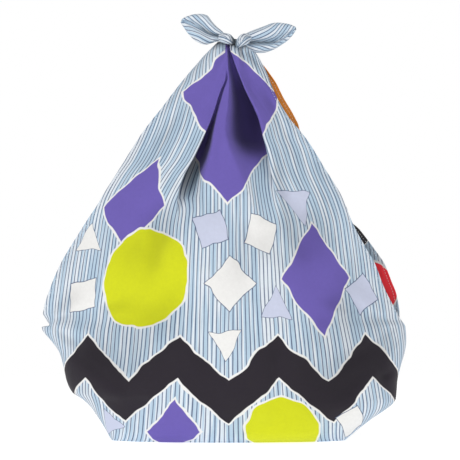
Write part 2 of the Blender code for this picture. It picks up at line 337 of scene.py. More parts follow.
def shape_distance(tree, place, shape):
    """How far a point of the print is outside a shape, in millimetres: a reach, less one, times the
    shape's size. The reach is the length for a disc, the sum of both sides for a diamond, the larger
    for a square, the larger of the base and the slopes of 60 degrees for a triangle, and the height
    from a folded line for a zigzag."""
    mapping = tree.nodes.new("ShaderNodeMapping")
    mapping.vector_type = "TEXTURE"
    fill(tree, mapping.inputs["Vector"], place)
    mapping.inputs["Location"].default_value = (shape.u, shape.v, 0)
    mapping.inputs["Rotation"].default_value = (0, 0, np.radians(shape.turn))
    mapping.inputs["Scale"].default_value = (shape.half_u, shape.half_v, 1)
    u, v = split(tree, mapping.outputs[0])
    wide = maths(tree, "ABSOLUTE", u)
    size = min(shape.half_u, shape.half_v)
    if shape.kind == "disc":
        squares = maths(tree, "ADD", maths(tree, "MULTIPLY", u, u), maths(tree, "MULTIPLY", v, v))
        reach = maths(tree, "SQRT", squares)
    elif shape.kind == "diamond":
        reach = maths(tree, "ADD", wide, maths(tree, "ABSOLUTE", v))
        size = shape.half_u * shape.half_v / np.hypot(shape.half_u, shape.half_v)
    elif shape.kind == "square":
        reach = maths(tree, "MAXIMUM", wide, maths(tree, "ABSOLUTE", v))
    elif shape.kind == "triangle":
        slopes = maths(tree, "MULTIPLY_ADD", v, 0.5, maths(tree, "MULTIPLY", wide, 0.866))
        larger = maths(tree, "MAXIMUM", maths(tree, "MULTIPLY", v, -1), slopes)
        reach = maths(tree, "MULTIPLY", larger, TRIANGLE_FULL)
    else:
        folded = maths(tree, "PINGPONG", u, 1.0)
        bend = maths(tree, "MULTIPLY_ADD", folded, -ZIGZAG_SWING, ZIGZAG_SWING / 2)
        reach = maths(tree, "ABSOLUTE", maths(tree, "ADD", v, bend))
        size = shape.half_v * ZIGZAG_BAND
    return maths(tree, "MULTIPLY", maths(tree, "SUBTRACT", reach, 1.0), size)


def striped_ground(tree, place):
    """Fine slate lines, a little uneven, on pale blue with whiter streaks between some of them.
    A line is where the place across, over the pitch, is near the middle of its fraction."""
    across, _ = split(tree, place)
    waver = noise(tree, vectors(tree, "MULTIPLY", place, WAVER_SCALE), 1.0)
    across = maths(tree, "MULTIPLY_ADD", waver, STRIPE_WAVER, across)
    off = maths(tree, "SUBTRACT", maths(tree, "FRACT", maths(tree, "DIVIDE", across, STRIPE_PITCH)), 0.5)
    off = maths(tree, "MULTIPLY", maths(tree, "ABSOLUTE", off), STRIPE_PITCH)
    uneven = noise(tree, vectors(tree, "MULTIPLY", place, UNEVEN_SCALE), 1.0, 1.0)
    half = maths(tree, "MULTIPLY_ADD", uneven, STRIPE_UNEVEN, STRIPE_LEAST_HALF)
    line = ramp(tree, maths(tree, "SUBTRACT", off, half), -STRIPE_EDGE, STRIPE_EDGE, STRIPE_INK, 0)
    streak = noise(tree, vectors(tree, "MULTIPLY", place, STREAK_SCALE), 1.0, 1.5)
    ground = over(tree, ramp(tree, streak, STREAK_FROM, STREAK_TO), GROUND_BLUE, GROUND_WHITE)
    return over(tree, line, ground, STRIPE_SLATE)


def hand_drawn(tree, place):
    """Places moved a little by a slow noise, so that the shapes get the uneven edges of a drawing."""
    slow = tree.nodes.new("ShaderNodeTexNoise")
    fill(tree, slow.inputs["Vector"], place)
    slow.inputs["Scale"].default_value = 1 / DRAWN_WAVE
    slow.inputs["Detail"].default_value = 1.5
    moved = vectors(tree, "MULTIPLY_ADD", slow.outputs["Color"], (DRAWN_SHIFT, DRAWN_SHIFT, 0), place)
    return vectors(tree, "SUBTRACT", moved, (DRAWN_SHIFT / 2, DRAWN_SHIFT / 2, 0))


def weave(tree, place):
    """A plain weave: the product of two sines across and along the threads, from 0 to 1."""
    warp, weft = [maths(tree, "SINE", maths(tree, "MULTIPLY", way, np.pi / THREAD_PITCH))
                  for way in split(tree, place)]
    return maths(tree, "MULTIPLY_ADD", maths(tree, "MULTIPLY", warp, weft), 0.5, 0.5)


def attribute(tree, name):
    """A number that the mesh carries at each point."""
    node = tree.nodes.new("ShaderNodeAttribute")
    node.attribute_name = name
    return node.outputs["Fac"]


def bumped(tree, height, strength, distance, below=None):
    """A bump on top of another normal."""
    node = tree.nodes.new("ShaderNodeBump")
    node.inputs["Strength"].default_value = strength
    node.inputs["Distance"].default_value = distance
    fill(tree, node.inputs["Height"], height)
    if below is not None:
        fill(tree, node.inputs["Normal"], below)
    return node.outputs["Normal"]


def cotton(name, shapes, paleness):
    """A material of printed cotton. paleness is how far the print fades towards white. The colour
    is shaded by mottle, threads, the hem's seam and painted shade: the fold value that the mesh carries."""
    material, tree, shader = new_material(name)
    uv = tree.nodes.new("ShaderNodeUVMap")
    uv.uv_map = "print"
    place = vectors(tree, "MULTIPLY", uv.outputs["UV"], (1 / MM, 1 / MM, 1 / MM))
    colour = striped_ground(tree, place)
    uneven = hand_drawn(tree, place)
    for shape in shapes:
        distance = shape_distance(tree, uneven, shape)
        pale = shape.ink in PALE_INKS
        width, edge_ink = (PALE_EDGE, STRIPE_SLATE) if pale else (WHITE_EDGE, INKS["white"])
        edge = ramp(tree, distance, width - PRINT_EDGE, width + PRINT_EDGE, 1, 0)
        colour = over(tree, edge, colour, edge_ink)
        inside_shape = ramp(tree, distance, -PRINT_EDGE, PRINT_EDGE, 1, 0)
        colour = over(tree, inside_shape, colour, INKS[shape.ink])
    colour = over(tree, paleness, colour, INKS["white"])
    body_place = tree.nodes.new("ShaderNodeTexCoord").outputs["Object"]
    mottle = noise(tree, body_place, MOTTLE_SCALE, 3.0, 0.6)
    threads = weave(tree, place)
    shade = maths(tree, "MULTIPLY", maths(tree, "MULTIPLY_ADD", mottle, MOTTLE_SHADE, 1 - MOTTLE_SHADE / 2),
                  maths(tree, "MULTIPLY_ADD", threads, THREAD_SHADE, 1 - THREAD_SHADE / 2))
    from_seam = maths(tree, "ABSOLUTE", maths(tree, "SUBTRACT", attribute(tree, "hem"), HEM_WIDTH * MM))
    shade = maths(tree, "MULTIPLY", shade, ramp(tree, from_seam, 0, SEAM_REACH * MM, SEAM_SHADE, 1))
    # Painted shade: the fold value darkens the colour in the pleats' troughs, hollows and creases, under
    # and in the knot and along the ears' valleys.
    folded = maths(tree, "MULTIPLY_ADD", attribute(tree, "fold"), -FOLD_SHADE, 1)
    shade = maths(tree, "MULTIPLY", shade, folded)
    dimmed = tree.nodes.new("ShaderNodeHueSaturation")
    fill(tree, dimmed.inputs["Color"], colour)
    fill(tree, dimmed.inputs["Value"], shade)
    fill(tree, shader.inputs["Base Color"], dimmed.outputs["Color"])
    fill(tree, shader.inputs["Roughness"], maths(tree, "MULTIPLY_ADD", mottle, MOTTLE_ROUGH, LEAST_ROUGH))
    shader.inputs["Specular IOR Level"].default_value = 0.22
    shader.inputs["Sheen Weight"].default_value = 0.10
    shader.inputs["Sheen Roughness"].default_value = 0.5
    fine = bumped(tree, threads, THREAD_BUMP, THREAD_RELIEF * MM)
    crumple = noise(tree, body_place, CRUMPLE_SCALE, 3.0, 0.55)
    fill(tree, shader.inputs["Normal"], bumped(tree, crumple, CRUMPLE_BUMP, CRUMPLE_RELIEF * MM, fine))
    return material


outside = cotton("printed_cotton_outside", SHAPES, 0)
inside = cotton("printed_cotton_inside", SHAPES, INSIDE_FADE)
tied = cotton("printed_cotton_tied", (), 0)


# The body: front and back panel of the cloth, one sheet of cotton that runs on under the base.
# It is closed at the two lower corners, where it is tied and tucked inside, open at the sides up
# to the neck, and gathered there into the knot in deep pleats.
CLOTH_THICKNESS = 0.9
CORNER_HEIGHT = 146
NECK_HEIGHT = 458
TOP_HEIGHT = 488
TOP_DOME = 7
EDGE_BULGE = 0.25
PEEP_POWER = 14

# The outline at each height, and how far the back panel's right hem stands out past the front's.
Edge = namedtuple("Edge", "z left right peep")
EDGES = rows_of(
    Edge, (0, -143, 143, 0), (5, -146, 149, 0), (14, -151, 160, 0), (28, -160, 179, 0), (43, -171, 200, 0),
    (50, -179, 205, 0), (58, -191, 206, 0), (72, -198, 207, 0), (90, -202, 211, 0), (107, -207, 216, 0),
    (120, -216, 218, 0), (138, -229, 217, 0), (148, -228, 211, 0), (160, -226, 204, 6),
    (187, -217, 190, 14), (215, -205, 179, 14), (234, -194, 168, 12), (259, -178, 154, 7),
    (270, -171, 149, 0), (283, -162, 144, 3), (300, -152, 137, 0), (331, -133, 118, -3),
    (365, -112, 97, -2), (377, -104, 88, 1), (390, -94, 77, 8), (405, -82, 67, 10), (420, -71, 59, 9),
    (436, -59, 52, 8), (452, -46, 46, 3), (464, -36, 40, 0), (471, -30, 36, 0), (478, -23, 31, 0),
    (484, -17, 25, 0), (488, -13, 21, 0),
)

# How far the panels bulge to the front and back, how far apart the hems stand, how deep the seam
# of the closed part is, and how full the section is.
Section = namedtuple("Section", "z front back mouth cleft round")
SECTIONS = rows_of(
    Section, (0, 60, 58, 0, 0, 0.50), (5, 71, 69, 0, 0, 0.50), (14, 80, 77, 0, 0, 0.52),
    (46, 92, 88, 0, 4, 0.56), (85, 98, 94, 0, 9, 0.62), (112, 99, 95, 0, 11, 0.70),
    (138, 98, 94, 0, 12, 0.85), (146, 97, 93, 0, 10, 0.90), (157, 96, 92, 6, 3, 0.95),
    (166, 95, 91, 10, 0, 0.97), (187, 92, 87, 15, 0, 1.00), (215, 87, 82, 20, 0, 1.00),
    (259, 76, 71, 24, 0, 1.00), (292, 67, 62, 25, 0, 1.00), (331, 57, 52, 23, 0, 1.00),
    (365, 49, 45, 19, 0, 1.00), (410, 38, 35, 13, 0, 0.95), (445, 29, 27, 7, 0, 0.80),
    (464, 25, 24, 0, 0, 0.60), (476, 20, 19, 0, 0, 0.55), (488, 13, 13, 0, 0, 0.50),
)

# The small nick at the lower end of the left hems, where the tied corner begins.
Nick = namedtuple("Nick", "z inward")
LEFT_NICK = (Nick(0, 0), Nick(138.5, 0), Nick(140, 13), Nick(147, 6), Nick(155, 0), Nick(488, 0))
NICK_REACH = 34

# The deep pleats: x of the crease at each height, how deep the trough beside it is, and how wide.
Fold = namedtuple("Fold", "z x depth width")
FRONT_LEFT_FOLD = rows_of(
    Fold, (0, -48, 0, 40), (150, -62, 0, 40), (250, -66, 1, 38), (290, -62, 9, 34), (302, -60, 17, 31),
    (321, -54, 27, 25), (343, -42, 33, 19), (362, -33, 34, 14), (371, -29, 31, 11), (386, -22.5, 23, 7),
    (400, -17.5, 15, 5), (426, -9.5, 8, 4), (442, -3.5, 4, 3), (453, -3, 0, 2), (466, -4, 0, 2),
    (488, -4, 0, 2),
)
FRONT_RIGHT_FOLD = rows_of(
    Fold, (0, 60, 0, 34), (200, 70, 0, 32), (262, 66, 1, 32), (293, 60, 6, 34), (320, 53, 10, 38),
    (342, 48.5, 16, 42), (356, 45.5, 28, 45), (369, 42, 40, 45), (390, 37, 42, 40), (405, 31, 38, 32),
    (428, 20, 30, 19.5), (443, 14, 23, 13.5), (455, 9.3, 18, 10), (468, 5, 13, 6), (478, 2.3, 9, 4),
    (488, 2, 1, 3),
)
BACK_LEFT_FOLD = rows_of(
    Fold, (0, -48, 0, 40), (190, -60, 0, 40), (270, -52, 3, 38), (330, -38, 12, 30), (380, -22, 16, 20),
    (430, -4, 9, 9), (466, 0, 3, 5), (488, -1, 1, 4),
)
BACK_RIGHT_FOLD = rows_of(
    Fold, (0, 50, 0, 50), (220, 66, 0, 44), (300, 60, 7, 40), (350, 48, 14, 32), (400, 32, 14, 22),
    (440, 22, 8, 10), (466, 15, 3, 6), (488, 13, 1, 4),
)

# The section of one pleat: the crease's lip hangs over the trough, which goes back under it.
# share counts along the cloth, across is the place over the pleat's width, sink is the depth.
Pleat = namedtuple("Pleat", "share across sink")
PLEAT = rows_of(
    Pleat, (0.00, 0.00, 0.00), (0.12, 0.13, -0.04), (0.22, 0.23, -0.06), (0.29, 0.285, 0.01),
    (0.34, 0.285, 0.14), (0.43, 0.250, 0.40), (0.52, 0.235, 0.70), (0.59, 0.28, 0.93), (0.66, 0.42, 1.00),
    (0.74, 0.57, 0.98), (0.81, 0.71, 0.84), (0.88, 0.84, 0.50), (0.94, 0.93, 0.17), (1.00, 1.00, 0.00),
)
LIP_SHARE = 0.315
LIP_ACROSS = 0.285
FULL_PLEAT_DEPTH = 12
# The painted shade of the fold value: it grows with a pleat's depth from FOLD_SHADE_FROM over
# FOLD_SHADE_OVER, with how far the cloth is drawn in up to HOLLOW_DEPTH, and above KNOT_SHADE_FROM under
# the knot.
FOLD_SHADE_FROM = 4
FOLD_SHADE_OVER = 28
HOLLOW_SHADE = 0.30
HOLLOW_DEPTH = 7
KNOT_SHADE_FROM = 474

# The mesh: columns beside, in and between the pleats, and rows on the base and up the panels.
COLUMNS = (38, 28, 12, 32, 38)
BASE_ROWS = 9
Rows = namedtuple("Rows", "low high count")
ROWS = rows_of(
    Rows, (0, 14, 9), (14, 60, 18), (60, 125, 17), (125, 137, 5), (137, 143, 6), (143, 165, 9),
    (165, 400, 58), (400, 455, 18), (455, TOP_HEIGHT, 13),
)
MERGE = 0.02

# The print leans with the cloth: it fans a little up to the pleats. From LEAN_FROM the parts
# beside the pleats take LEAN_TAKE less of it, and end up running along the creases.
FAN_FROM = 150
FAN_REACH = 1000
LEAN_FROM = 255
LEAN_OVER = 90
LEAN_TAKE = 15


def smooth_column(table, name, key="z"):
    """A column of a table as a smooth function of its key: cubic Hermite pieces whose slopes are
    the harmonic means of the neighbouring rises, so that it never overshoots."""
    place = np.array([getattr(row, key) for row in table], float)
    value = np.array([getattr(row, name) for row in table], float)
    secant = np.diff(value) / np.diff(place)
    slope = np.empty_like(value)
    slope[0], slope[-1] = secant[0], secant[-1]
    same_way = secant[:-1] * secant[1:] > 0
    total = np.where(same_way, secant[:-1] + secant[1:], 1.0)
    slope[1:-1] = np.where(same_way, 2 * secant[:-1] * secant[1:] / total, 0.0)

    def at(where):
        k = np.clip(np.searchsorted(place, where) - 1, 0, len(place) - 2)
        step = place[k + 1] - place[k]
        t = (where - place[k]) / step
        rise = value[k + 1] - value[k]
        return (value[k] + rise * t * t * (3 - 2 * t)
                + step * t * (1 - t) * (slope[k] * (1 - t) - slope[k + 1] * t))

    return at


def smooth_step(t):
    """0 below 0, 1 above 1, and 3t^2 - 2t^3 between."""
    t = np.clip(t, 0, 1)
    return t * t * (3 - 2 * t)


def pleat_zone(z, fold, side, count):
    """Across one pleat: x and sink of count steps from its flat side to its far side. It starts as
    plain cloth and blends into the PLEAT section as the trough gets deep."""
    crease, depth, width = [smooth_column(fold, name)(z)[:, None] for name in ("x", "depth", "width")]
    share = np.linspace(0, 1, count + 1)[None, :]
    formed = smooth_step(depth / FULL_PLEAT_DEPTH)
    span = width / (1 - LIP_ACROSS)
    across = share * (1 - formed) + smooth_column(PLEAT, "across", "share")(share) * formed
    sink = depth * smooth_column(PLEAT, "sink", "share")(share)
    x = crease + side * span * (across - LIP_ACROSS)
    if side < 0:
        return x[:, ::-1], sink[:, ::-1]
    return x, sink


def spread(start, end, count, ease=None):
    """count + 1 places from start to end, evenly or bunched towards one end."""
    t = np.linspace(0, 1, count + 1)[None, :]
    if ease == "start":
        t = 1 - np.cos(t * np.pi / 2)
    if ease == "end":
        t = np.sin(t * np.pi / 2)
    return start + (end - start) * t


def plain_panel(z, facing):
    """x, y, place across and pleat depth of each point, before any slack. The section's y is
    mouth + (reach - mouth) * (1 - across^2)^round, less the sink of the pleats."""
    left, right, peep = [smooth_column(EDGES, name)(z)[:, None] for name in ("left", "right", "peep")]
    row = {name: smooth_column(SECTIONS, name)(z)[:, None] for name in Section._fields[1:]}
    opened = ((z > CORNER_HEIGHT) & (z < NECK_HEIGHT))[:, None]
    mouth = row["mouth"] * opened
    reach = row["front"] if facing < 0 else row["back"]
    folds = (FRONT_LEFT_FOLD, FRONT_RIGHT_FOLD) if facing < 0 else (BACK_LEFT_FOLD, BACK_RIGHT_FOLD)
    left_x, left_sink = pleat_zone(z, folds[0], 1, COLUMNS[1])
    right_x, right_sink = pleat_zone(z, folds[1], -1, COLUMNS[3])
    x = np.hstack([spread(left, left_x[:, :1], COLUMNS[0], "start")[:, :-1], left_x[:, :-1],
                   spread(left_x[:, -1:], right_x[:, :1], COLUMNS[2])[:, :-1], right_x[:, :-1],
                   spread(right_x[:, -1:], right, COLUMNS[4], "end")])
    sink = np.zeros_like(x)
    sink[:, COLUMNS[0]:COLUMNS[0] + COLUMNS[1] + 1] = left_sink
    sink[:, -(COLUMNS[3] + COLUMNS[4]) - 1:-COLUMNS[4]] = right_sink
    across = np.clip(2 * (x - left) / (right - left) - 1, -1, 1)
    bulge = 1 - across ** 2
    inner = smooth_step(bulge / EDGE_BULGE)
    y = mouth + (reach - mouth) * bulge ** row["round"] - sink * inner
    if facing > 0:
        x = x + peep * opened * np.clip(across, 0, 1) ** PEEP_POWER
    x[:, 0] += row["cleft"][:, 0]
    x[:, -1] -= row["cleft"][:, 0]
    return x, y, across, sink * inner


# Slack and creases of the cloth, as how far it is drawn in. Gathers run down from the knot, tucks
# fan out of the lower corners, dents are soft round hollows, and creases are soft straight folds.
KNOT_PLACE = (9, 500)
KNOT_RADIUS = 16
CORNER_CALM = 12
CREASE_START = 0.3
CREASE_END = 0.5
SLACK_FROM = 6
SLACK_OVER = 34
HEM_CALM = 14
HEM_SLACK = 0.25
Gather = namedtuple("Gather", "count phase depth fade")
GATHERS = (Gather(26, 0.4, 1.6, 26), Gather(15, 1.9, 1.8, 60), Gather(8, 3.1, 2.0, 130))
Corner = namedtuple("Corner", "x z tucks phase depth fade")
CORNERS = (Corner(-227, 146, 9, 0.0, 5.0, 55), Corner(217, 146, 9, 0.0, 5.0, 55),
           Corner(-227, 140, 17, 1.3, 1.2, 38), Corner(217, 140, 15, 2.1, 1.2, 38))
Dent = namedtuple("Dent", "x z reach depth")
FRONT_DENTS = rows_of(
    Dent, (-120, 120, 60, 5), (128, 96, 55, 6), (8, 60, 80, -3), (96, 250, 48, 4), (-84, 262, 42, 3),
    (-150, 200, 26, -2.2), (150, 62, 22, 2.4), (-60, 150, 34, 2.0), (70, 160, 40, -2.0), (30, 232, 30, 1.6),
)
BACK_DENTS = rows_of(
    Dent, (-110, 90, 60, 5), (120, 140, 60, 5), (-30, 230, 60, 4), (60, 60, 40, 2), (-140, 190, 30, -2),
)
Crease = namedtuple("Crease", "x z to_x to_z width depth")
FRONT_CREASES = rows_of(
    Crease, (-34, 440, -110, 322, 7, 3.2), (-24, 432, -84, 318, 5, -2.2), (40, 436, 92, 330, 7, 3.0),
    (32, 400, 66, 316, 6, -1.8), (-6, 392, -14, 300, 7, 2.2), (-178, 118, -96, 84, 9, 4.2),
    (-190, 96, -120, 46, 8, -3.4), (-164, 160, -110, 168, 8, 3.2), (180, 118, 112, 80, 9, 4.6),
    (190, 84, 128, 34, 8, -3.6), (168, 158, 96, 176, 8, 3.4), (-80, 34, 60, 26, 9, 2.0),
    (24, 296, 8, 190, 12, 3.2), (-72, 300, -98, 176, 11, 4.2), (66, 296, 104, 196, 10, 3.4),
    (196, 60, 168, 130, 7, 2.6), (-112, 150, -126, 60, 10, 3.2), (52, 130, 60, 34, 11, 3.6),
    (-30, 180, -24, 60, 13, 2.4), (140, 190, 150, 110, 10, 2.6), (213, 86, 176, 74, 5, 5.5),
    (214, 128, 180, 98, 6, 4.5), (-218, 128, -176, 112, 6, 4.5), (-202, 74, -160, 52, 6, 4.5),
    (58, 344, 74, 270, 8, 4.0), (6, 488, 22, 462, 2.6, 7), (20, 480, 42, 452, 3.6, 9),
)
BACK_CREASES = rows_of(
    Crease, (-30, 436, -100, 330, 7, 2.2), (34, 436, 84, 320, 7, 2.2), (8, 400, 6, 280, 9, 2.0),
    (-170, 110, -90, 90, 9, 2.4), (170, 120, 100, 100, 9, 2.4), (-40, 40, 80, 30, 9, 1.4),
)
Ripple = namedtuple("Ripple", "x z phase depth")
RIPPLES = rows_of(
    Ripple, (0.052, 0.031, 0.3, 0.8), (-0.037, 0.060, 1.7, 0.8), (0.094, -0.048, 2.9, 0.45),
    (0.071, 0.105, 4.1, 0.40), (-0.155, 0.083, 0.9, 0.20), (0.121, 0.171, 5.2, 0.18),
)

# The turned hems, a little thicker than the cloth, and their slow waves. A point on a closed edge
# counts as CLOSED away from any hem.
HEM_RISE = 0.45
HEM_STEP = 1.2
HEM_WAVE = 3.5
HEM_WAVE_LENGTH = 120
HEM_WAVE_FADE = 60
HEM_WAVE_POWER = 6
HEM_PHASES = {(-1, "left"): 0.4, (-1, "right"): 2.3, (1, "left"): 3.6, (1, "right"): 5.2}
CLOSED = 40


def slack(x, z, facing):
    """How far the cloth is drawn in by gathers (cosines of the angle seen from the knot), tucks
    (the same from a corner), dents (bell shapes), creases (bell shapes across a line) and ripples."""
    from_x, from_z = x - KNOT_PLACE[0], KNOT_PLACE[1] - z
    away, angle = np.hypot(from_x, from_z), np.arctan2(from_x, from_z)
    drawn = sum(g.depth * np.exp(-(away - KNOT_RADIUS) / g.fade) * np.cos(g.count * angle + g.phase)
                for g in GATHERS)
    for corner in CORNERS:
        to_x, to_z = x - corner.x, z - corner.z
        near = np.hypot(to_x, to_z)
        turn = np.arctan2(to_z, np.abs(to_x))
        fade = smooth_step(near / CORNER_CALM) * np.exp(-near / corner.fade)
        drawn = drawn + corner.depth * fade * (0.5 + 0.5 * np.cos(corner.tucks * turn + corner.phase))
    for dent in FRONT_DENTS if facing < 0 else BACK_DENTS:
        drawn = drawn + dent.depth * np.exp(-((x - dent.x) ** 2 + (z - dent.z) ** 2) / dent.reach ** 2)
    for crease in FRONT_CREASES if facing < 0 else BACK_CREASES:
        along = np.array([crease.to_x - crease.x, crease.to_z - crease.z], float)
        length = np.hypot(*along)
        along /= length
        run = ((x - crease.x) * along[0] + (z - crease.z) * along[1]) / length
        off = (x - crease.x) * along[1] - (z - crease.z) * along[0]
        ends = smooth_step(run / CREASE_START) * smooth_step((1 - run) / CREASE_END)
        drawn = drawn + crease.depth * ends * np.exp(-(off / crease.width) ** 2)
    for ripple in RIPPLES:
        drawn = drawn + ripple.depth * np.cos(ripple.x * x + ripple.z * z + ripple.phase + facing)
    return drawn


def hem_wave(z, facing, across):
    """How far the slack pushes a panel out near its two hems: a sine along the hem, times a power
    of the place across, faded out at both ends."""
    above = z - CORNER_HEIGHT
    open_part = smooth_step(above / HEM_WAVE_FADE) * smooth_step((NECK_HEIGHT - z) / HEM_WAVE_FADE)
    phase = np.where(across < 0, HEM_PHASES[facing, "left"], HEM_PHASES[facing, "right"])
    wave = np.sin(2 * np.pi * above / HEM_WAVE_LENGTH + phase)
    return HEM_WAVE * open_part * wave * np.abs(across) ** HEM_WAVE_POWER


def row_heights():
    """Heights of the rows: close together at the base, the lower corners and the neck."""
    steps = [np.linspace(rows.low, rows.high, rows.count, endpoint=False) for rows in ROWS]
    return np.concatenate(steps + [[TOP_HEIGHT]])


def running_length(points, axis):
    """Length along a grid of points in one direction, from 0 at its first row or column."""
    step = np.linalg.norm(np.diff(points, axis=axis), axis=-1)
    zero = np.zeros_like(np.take(step, [0], axis=axis))
    return np.concatenate([zero, np.cumsum(step, axis=axis)], axis=axis)


def print_across(flat, z, v):
    """The print's u: the length across each row from the middle, fanned a little with v. Above
    LEAN_FROM each pleat takes up what brings the print beside it along the crease."""
    middle = COLUMNS[0] + COLUMNS[1] + COLUMNS[2] // 2
    u = running_length(flat, 1)
    u = u - u[:, middle:middle + 1] + flat[:, middle:middle + 1, 0]
    level = int(np.searchsorted(z, LEAN_FROM))
    u = u * (1 + (np.minimum(v, v[level]) - FAN_FROM) / FAN_REACH)
    left_far, right_far = COLUMNS[0] + COLUMNS[1], COLUMNS[0] + COLUMNS[1] + COLUMNS[2]
    left_lip = COLUMNS[0] + round(LIP_SHARE * COLUMNS[1])
    right_lip = right_far + round((1 - LIP_SHARE) * COLUMNS[3])
    kept = u.copy()
    rows = slice(level, None)
    take = LEAN_TAKE * smooth_step((z[rows, None] - LEAN_FROM) / LEAN_OVER)
    for side, far, lip, trough, beside in (
            (-1, left_far, left_lip, slice(left_lip, left_far), slice(0, left_lip)),
            (1, right_far, right_lip, slice(right_far, right_lip + 1), slice(right_lip + 1, None))):
        start, end, aim = u[rows, far:far + 1], u[rows, lip:lip + 1], u[level, lip] + side * take
        kept[rows, trough] = start + (u[rows, trough] - start) * (aim - start) / (end - start)
        kept[rows, beside] = u[rows, beside] + aim - end
    return kept


# A piece of cloth as a grid: its points, the print's places, the distance from the hem, the fold value,
# which is painted shade, and whether its faces are turned.
Grid = namedtuple("Grid", "points print hem fold turned")


def panel(facing):
    """One panel as a Grid from the middle of the base to the neck: the plain panel, less its slack
    where it can move, with the nick, the hems' waves and thickness, and a dome at the top. The fold
    value is painted shade that darkens the cloth in the troughs and hollows and under the knot."""
    heights = row_heights()
    z = np.concatenate([np.zeros(BASE_ROWS), heights])
    share = np.concatenate([np.arange(BASE_ROWS) / BASE_ROWS, np.ones(len(heights))])[:, None]
    x, y, across, sunk = plain_panel(z, facing)
    up = np.broadcast_to(z[:, None], x.shape)
    flat = np.stack([x, facing * y * share, up], axis=-1)
    middle = COLUMNS[0] + COLUMNS[1] + COLUMNS[2] // 2
    v = running_length(flat, 0)[:, middle:middle + 1]
    u = print_across(flat, z, v)
    from_left = running_length(flat, 1)
    from_hem = np.minimum(from_left, running_length(flat[:, ::-1], 1)[:, ::-1])
    x = x + smooth_column(LEFT_NICK, "inward")(up) * (1 - smooth_step(from_left / NICK_REACH))
    opened = ((z > CORNER_HEIGHT) & (z < NECK_HEIGHT))[:, None]
    from_hem = np.where(opened, from_hem, CLOSED)
    inner = smooth_step((1 - across ** 2) / EDGE_BULGE)
    settled = smooth_step((up - SLACK_FROM) / SLACK_OVER)
    near_edge = smooth_step(from_hem / HEM_CALM) * (1 - HEM_SLACK) + HEM_SLACK
    drawn = slack(x, up, facing) * settled * inner * near_edge
    y = y - drawn + hem_wave(up, facing, across)
    y = y + HEM_RISE * smooth_step((HEM_WIDTH + HEM_STEP / 2 - from_hem) / HEM_STEP) * opened
    y = y * np.sqrt(np.clip((TOP_HEIGHT - up) / TOP_DOME, 0, 1))
    points = np.stack([x, facing * y * share, up], axis=-1)
    # Painted shade: dark in the pleats' troughs, under the knot and, more lightly, in the hollows of the
    # slack.
    trough = smooth_step((sunk - FOLD_SHADE_FROM) / FOLD_SHADE_OVER)
    painted_shade_under_knot = smooth_step((up - KNOT_SHADE_FROM) / (TOP_HEIGHT - KNOT_SHADE_FROM))
    fold = np.minimum(trough + painted_shade_under_knot + HOLLOW_SHADE * smooth_step(drawn / HOLLOW_DEPTH), 1)
    places = np.stack([u, -facing * v * np.ones_like(u)], axis=-1)
    return Grid(points * MM, places * MM, from_hem * MM, fold, facing > 0)


def cloth_mesh(name, grids, merge=MERGE):
    """A mesh from Grids, with the print's places as UV. Points closer together than merge
    millimetres become one, which joins panels and closes tubes."""
    points = np.concatenate([grid.points.reshape(-1, 3) for grid in grids])
    places = np.concatenate([grid.print.reshape(-1, 2) for grid in grids])
    quads, first = [], 0
    for grid in grids:
        index = first + np.arange(grid.hem.size).reshape(grid.hem.shape)
        loop = np.stack([index[:-1, :-1], index[:-1, 1:], index[1:, 1:], index[1:, :-1]], axis=-1)
        loop = loop.reshape(-1, 4)
        quads.append(loop[:, ::-1] if grid.turned else loop)
        first += grid.hem.size
    quads = np.concatenate(quads)
    mesh = bpy.data.meshes.new(name)
    mesh.from_pydata(points.tolist(), [], quads.tolist())
    layer = mesh.uv_layers.new(name="print")
    layer.data.foreach_set("uv", places[quads].astype(np.float32).ravel())
    # Each point carries its distance from the hem and its fold value, the painted shade.
    for field in ("hem", "fold"):
        values = np.concatenate([getattr(grid, field).ravel() for grid in grids])
        mesh.attributes.new(field, "FLOAT", "POINT").data.foreach_set("value", values.astype(np.float32))
    work = bmesh.new()
    work.from_mesh(mesh)
    bmesh.ops.remove_doubles(work, verts=work.verts, dist=merge * MM)
    bmesh.ops.dissolve_degenerate(work, edges=work.edges, dist=merge * MM / 2)
    work.to_mesh(mesh)
    work.free()
    mesh.shade_smooth()
    return mesh


def cloth_piece(name, mesh, materials, thickness=0, offset=-1.0):
    """An object of cloth, with its wall's thickness, that stands for the solid wrap."""
    piece = placed(name, mesh)
    for material in materials:
        mesh.materials.append(material)
    if thickness:
        wall = piece.modifiers.new("cloth_thickness", "SOLIDIFY")
        wall.thickness = thickness * MM
        wall.offset = offset
        wall.use_even_offset = False
        wall.material_offset = len(materials) - 1
    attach(piece, "root")
    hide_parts("wrap_cloth")
    return piece


panels = [panel(-1), panel(1)]
body = cloth_piece("wrap_body", cloth_mesh("wrap_body", panels), [outside, inside], CLOTH_THICKNESS)


# The hem's machine stitches: white thread that runs along the four open edges of the two panels,
# and shows as short stitches on both sides of the cloth.
STITCH_PITCH = 3.6
STITCH_LENGTH = 2.5
STITCH_INSET = 4.0
STITCH_THICK = 0.26
STITCH_TIP = 0.12
STITCH_LIFT = 0.05
STITCH_AROUND = 6
STITCH_ALONG = 5
STITCHES_ABOVE_CORNER = 8
STITCHES_BELOW_NECK = 6
THREAD_WHITE = printed(228, 230, 234)


def unit(vectors):
    """Vectors at length 1."""
    return vectors / np.linalg.norm(vectors, axis=-1, keepdims=True)


